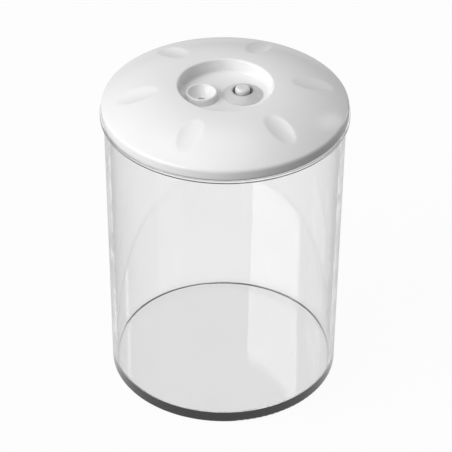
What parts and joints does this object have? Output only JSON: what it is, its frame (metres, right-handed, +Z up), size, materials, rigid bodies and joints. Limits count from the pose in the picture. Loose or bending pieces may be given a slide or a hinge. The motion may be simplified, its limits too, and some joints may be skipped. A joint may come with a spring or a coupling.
{
  "type": "vacuum seal canister",
  "caption": "Round clear food canister with a domed lift-off lid that has leaf-shaped grips, a gasket, a suction port with a check valve and a sprung release button.",
  "frame": {"origin": "centre of the jar's underside, on the surface it stands on", "axes": "+Z up along the jar's axis; the suction port is towards -X and the release button towards +X; the front is -Y"},
  "size_m": [0.1278, 0.1278, 0.1721],
  "materials": {
    "clear_plastic": "clear, polished inside and out",
    "lid_plastic": "white, smooth gloss",
    "base_plastic": "white, fine satin moulding",
    "gasket_silicone": "milky silicone",
    "port_plastic": "white, smooth gloss",
    "seal_rubber": "black, matte",
    "valve_silicone": "milky silicone",
    "collar_plastic": "white, smooth gloss",
    "button_plastic": "white, smooth gloss",
    "stem_plastic": "natural white, satin",
    "spring_steel": "drawn steel wire"
  },
  "bodies": {
    "jar": {"jar": "clear_plastic"},
    "lid": {"lid_cover": "lid_plastic", "lid_base": "base_plastic", "rim_gasket": "gasket_silicone", "suction_port": "port_plastic", "port_o_ring": "seal_rubber", "button_collar": "collar_plastic", "return_spring": "spring_steel"},
    "button": {"release_button": "button_plastic", "valve_stem": "stem_plastic", "valve_seal": "seal_rubber"},
    "check_valve": {"check_valve": "valve_silicone"}
  },
  "joints": [
    {"name": "lid_lift", "type": "slide", "parent": "jar", "child": "lid", "axis": [0, 0, 1], "range_m": [0, 0.08]},
    {"name": "button_press", "type": "slide", "parent": "lid", "child": "button", "axis": [0, 0, -1], "range_m": [0, 0.0025], "stiffness_N_per_m": 400, "springref_m": -0.001, "deforming": ["return_spring"]},
    {"name": "check_valve_lift", "type": "slide", "parent": "lid", "child": "check_valve", "axis": [0, 0, 1], "range_m": [0, 0.0008], "stiffness_N_per_m": 60, "springref_m": -0.0005}
  ]
}
